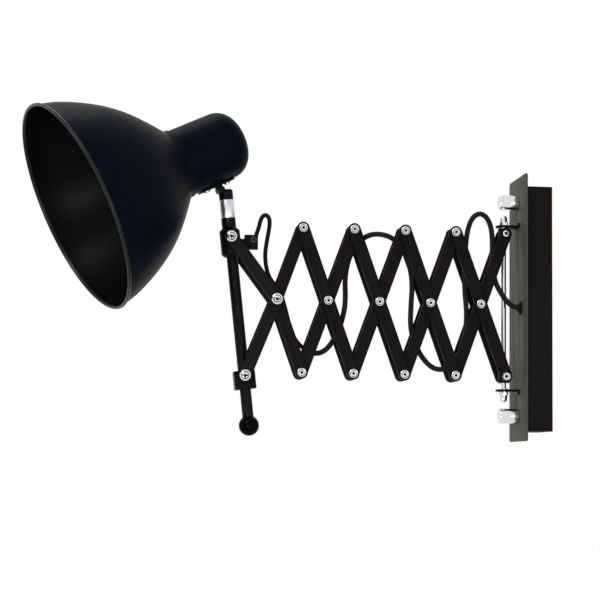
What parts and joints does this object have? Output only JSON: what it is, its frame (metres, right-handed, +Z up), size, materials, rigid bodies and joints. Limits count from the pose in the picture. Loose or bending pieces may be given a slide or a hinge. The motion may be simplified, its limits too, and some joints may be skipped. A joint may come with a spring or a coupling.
{
  "type": "accordion wall lamp",
  "caption": "Wall lamp on a swivelling scissor arm with a bell shade that swivels and tilts, a sliding head tube and a cord woven through the arm.",
  "frame": {"origin": "centre of the wall unit's back, on the wall", "axes": "+Y into the wall, -Y out into the room, +Z up, +X towards the side from which the outer arm bars lean up and away from the wall"},
  "size_m": [0.2025, 0.5177, 0.3165],
  "materials": {
    "satin_black": "satin black enamel",
    "bar_black": "black enamel, slightly brown",
    "link_grey": "satin dark grey enamel",
    "matte_black": "matt black enamel",
    "bright": "bright plating",
    "zinc": "dull zinc plating",
    "ball_black": "gloss black",
    "grommet_black": "moulded",
    "terminal_white": "moulded",
    "holder_black": "moulded",
    "brass": "plain",
    "braid": "woven braid",
    "lead_black": "extruded"
  },
  "bodies": {
    "wall_unit": {"wall_box": "satin_black", "front_plate": "satin_black", "wall_crossbar": "zinc", "mounting_studs": "zinc", "cap_nuts": "bright", "cord_grommet": "grommet_black", "terminal_block": "terminal_white", "terminal_screws": "brass", "upper_rod_lug": "matte_black", "lower_rod_lug": "matte_black", "pivot_rod": "bright", "acorn_nuts": "bright", "rod_washers": "bright", "cord_wall_end": "braid"},
    "rod_swivel": {"upper_rod_collar": "matte_black", "upper_rod_collar_screws": "bright"},
    "rising_5": {"rising_bars_5": "bar_black", "arm_rivets_5": "bright", "cord_stretch_5": "braid"},
    "falling_5": {"falling_bars_5": "bar_black"},
    "rising_4": {"rising_bars_4": "bar_black", "arm_rivets_4": "bright"},
    "falling_4": {"falling_bars_4": "bar_black", "cord_stretch_4": "braid"},
    "rising_3": {"rising_bars_3": "bar_black", "arm_rivets_3": "bright", "cord_stretch_3": "braid"},
    "falling_3": {"falling_bars_3": "bar_black"},
    "rising_2": {"rising_bars_2": "bar_black", "arm_rivets_2": "bright", "cord_stretch_2": "braid"},
    "falling_2": {"falling_bars_2": "bar_black"},
    "rising_half": {"rising_half_bars": "bar_black", "arm_rivets_1": "bright"},
    "falling_half": {"falling_half_bars": "bar_black"},
    "rod_slider": {"lower_rod_collar": "matte_black", "lower_rod_collar_rivets": "bright"},
    "upper_link_pair": {"upper_links": "link_grey", "head_pivot_bolt": "bright"},
    "lower_link_pair": {"lower_links": "link_grey"},
    "tube_slider": {"lower_collar": "matte_black", "lower_collar_screws": "bright"},
    "tube": {"head_tube": "satin_black", "upper_collar": "matte_black", "upper_collar_screws": "bright", "ball_knob": "ball_black", "cord_grip": "matte_black", "cord_grip_screw": "zinc", "cord_lead": "lead_black"},
    "swivel": {"swivel_sleeve": "satin_black", "tilt_fork": "satin_black", "tilt_bolt": "zinc"},
    "lampshade": {"saddle_bracket": "satin_black", "saddle_screws": "zinc", "neck_cup": "satin_black", "shade": "satin_black", "lamp_holder": "holder_black", "holder_contacts": "brass", "holder_bracket": "zinc", "holder_nipple": "zinc"}
  },
  "joints": [
    {"name": "arm_swivel", "type": "hinge", "parent": "wall_unit", "child": "rod_swivel", "pos_m": [0, -0.0419, 0.075], "axis": [0, 0, 1], "range_deg": [-75, 75], "deforming": ["cord_wall_end"]},
    {"name": "arm_extend", "type": "hinge", "parent": "rod_swivel", "child": "rising_5", "pos_m": [0, -0.0419, 0.075], "axis": [-1, 0, 0], "range_deg": [-7, 36], "deforming": ["cord_stretch_5"]},
    {"name": "cross_5", "type": "hinge", "parent": "rising_5", "child": "falling_5", "pos_m": [0, -0.06715, 0.00438], "axis": [-1, 0, 0], "range_deg": [-72, 14]},
    {"name": "rod_slide_pivot", "type": "hinge", "parent": "falling_5", "child": "rod_slider", "pos_m": [0, -0.0419, -0.06625], "axis": [-1, 0, 0], "range_deg": [-7, 36]},
    {"name": "low_4", "type": "hinge", "parent": "rising_5", "child": "falling_4", "pos_m": [0, -0.09239, -0.06625], "axis": [-1, 0, 0], "range_deg": [-72, 14], "deforming": ["cord_stretch_4"]},
    {"name": "cross_4", "type": "hinge", "parent": "falling_4", "child": "rising_4", "pos_m": [0, -0.11764, 0.00438], "axis": [-1, 0, 0], "range_deg": [-14, 72]},
    {"name": "top_3", "type": "hinge", "parent": "falling_4", "child": "rising_3", "pos_m": [0, -0.14288, 0.075], "axis": [-1, 0, 0], "range_deg": [-14, 72], "deforming": ["cord_stretch_3"]},
    {"name": "cross_3", "type": "hinge", "parent": "rising_3", "child": "falling_3", "pos_m": [0, -0.16813, 0.00438], "axis": [-1, 0, 0], "range_deg": [-72, 14]},
    {"name": "low_2", "type": "hinge", "parent": "rising_3", "child": "falling_2", "pos_m": [0, -0.19337, -0.06625], "axis": [-1, 0, 0], "range_deg": [-72, 14]},
    {"name": "cross_2", "type": "hinge", "parent": "falling_2", "child": "rising_2", "pos_m": [0, -0.21862, 0.00438], "axis": [-1, 0, 0], "range_deg": [-14, 72]},
    {"name": "low_1", "type": "hinge", "parent": "rising_2", "child": "falling_half", "pos_m": [0, -0.24386, -0.06625], "axis": [-1, 0, 0], "range_deg": [-72, 14], "deforming": ["cord_stretch_2"]},
    {"name": "cross_1", "type": "hinge", "parent": "falling_half", "child": "rising_half", "pos_m": [0, -0.26911, 0.00438], "axis": [-1, 0, 0], "range_deg": [-14, 72]},
    {"name": "head_level", "type": "hinge", "parent": "falling_half", "child": "upper_link_pair", "pos_m": [0, -0.26911, 0.00438], "axis": [-1, 0, 0], "range_deg": [-7, 36]},
    {"name": "bracket_fold", "type": "hinge", "parent": "upper_link_pair", "child": "tube", "pos_m": [0, -0.31434, 0.0642], "axis": [-1, 0, 0], "range_deg": [-6, 12], "deforming": ["cord_lead"]},
    {"name": "lower_link_fold", "type": "hinge", "parent": "upper_link_pair", "child": "lower_link_pair", "pos_m": [0, -0.26911, 0.00438], "axis": [-1, 0, 0], "range_deg": [-11.57, 23.15]},
    {"name": "tube_slide_pivot", "type": "hinge", "parent": "lower_link_pair", "child": "tube_slider", "pos_m": [0, -0.29882, -0.0699], "axis": [-1, 0, 0], "range_deg": [-11.15, 5.57]},
    {"name": "head_swivel", "type": "hinge", "parent": "tube", "child": "swivel", "pos_m": [0, -0.31434, 0.0642], "axis": [0, -0.1149, 0.9934], "range_deg": [-90, 70]},
    {"name": "shade_tilt", "type": "hinge", "parent": "swivel", "child": "lampshade", "pos_m": [0.00143, -0.32501, 0.11114], "axis": [0.9643, 0.263, 0.0304], "range_deg": [-20, 25]}
  ],
  "couplings": [
    {"joint": "cross_5", "follows": "arm_extend", "ratio": -2},
    {"joint": "rod_slide_pivot", "follows": "arm_extend", "ratio": 1},
    {"joint": "low_4", "follows": "arm_extend", "ratio": -2},
    {"joint": "cross_4", "follows": "arm_extend", "ratio": 2},
    {"joint": "top_3", "follows": "arm_extend", "ratio": 2},
    {"joint": "cross_3", "follows": "arm_extend", "ratio": -2},
    {"joint": "low_2", "follows": "arm_extend", "ratio": -2},
    {"joint": "cross_2", "follows": "arm_extend", "ratio": 2},
    {"joint": "low_1", "follows": "arm_extend", "ratio": -2},
    {"joint": "cross_1", "follows": "arm_extend", "ratio": 2},
    {"joint": "head_level", "follows": "arm_extend", "ratio": 1},
    {"joint": "lower_link_fold", "follows": "bracket_fold", "ratio": 1.929},
    {"joint": "tube_slide_pivot", "follows": "bracket_fold", "ratio": -0.929}
  ]
}
